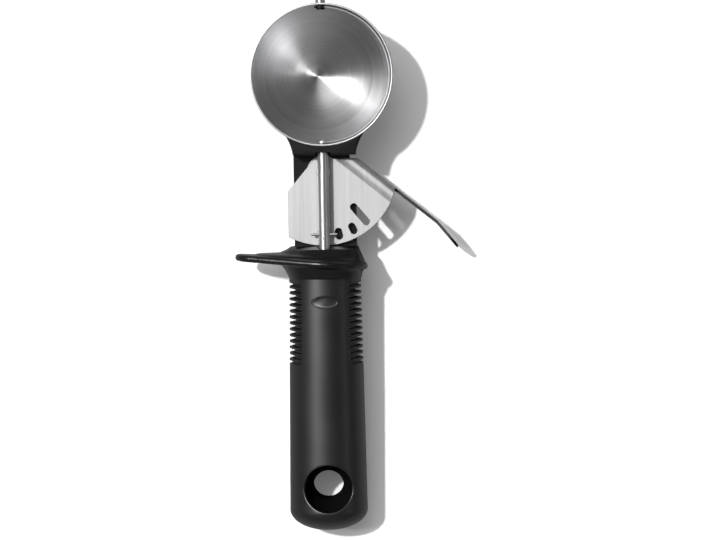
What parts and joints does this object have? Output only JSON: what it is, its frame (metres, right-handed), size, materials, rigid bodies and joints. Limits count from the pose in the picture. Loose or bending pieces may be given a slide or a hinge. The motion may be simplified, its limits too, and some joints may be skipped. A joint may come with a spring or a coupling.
{
  "type": "lever ice cream scoop",
  "caption": "Lever ice cream scoop: round steel bowl with a swiper that a sprung thumb lever turns, black neck, winged guard and soft ribbed grip with a hang hole.",
  "frame": {"origin": "on the axis of the hang hole at the grip's mid-height", "axes": "+Z along the hang hole's axis, out of the open bowl; +Y along the tool towards the bowl; +X towards the thumb lever"},
  "size_m": [0.095, 0.2255, 0.0422],
  "materials": {
    "bowl_steel": "spun stainless",
    "lever_steel": "satin stainless",
    "pin_steel": "bright drawn steel",
    "neck_plastic": "fine matte",
    "grip_rubber": "soft matte",
    "bush_plastic": "natural acetal"
  },
  "bodies": {
    "frame": {"bowl": "bowl_steel", "bowl_tang": "bowl_steel", "tip_pivot": "pin_steel", "tip_washer": "pin_steel", "tang_screws": "pin_steel", "front_bush": "bush_plastic", "rear_bush": "bush_plastic", "pivot_rivet": "pin_steel", "rivet_washer": "pin_steel", "neck_frame": "neck_plastic", "guard": "neck_plastic", "guard_pins": "pin_steel", "grip_sleeve": "grip_rubber", "handle_core": "neck_plastic", "core_screws": "pin_steel"},
    "lever": {"thumb_lever": "lever_steel", "thrust_washer": "bush_plastic", "return_spring": "pin_steel"},
    "swiper_drive": {"swiper": "bowl_steel", "drive_shaft": "pin_steel", "cross_pin_front": "pin_steel", "cross_pin_rear": "pin_steel"}
  },
  "joints": [
    {"name": "lever_swing", "type": "hinge", "parent": "frame", "child": "lever", "pos_m": [0, 0.1334, 0.002], "axis": [0, 0, -1], "range_deg": [0, 24], "stiffness_Nm_per_rad": 0.25, "springref_deg": -20.05},
    {"name": "swiper_turn", "type": "hinge", "parent": "frame", "child": "swiper_drive", "pos_m": [0, 0.1742, 0.006], "axis": [0, 1, 0], "range_deg": [0, 162.5]}
  ],
  "couplings": [
    {"joint": "swiper_turn", "follows": "lever_swing", "ratio": 6.7669}
  ]
}
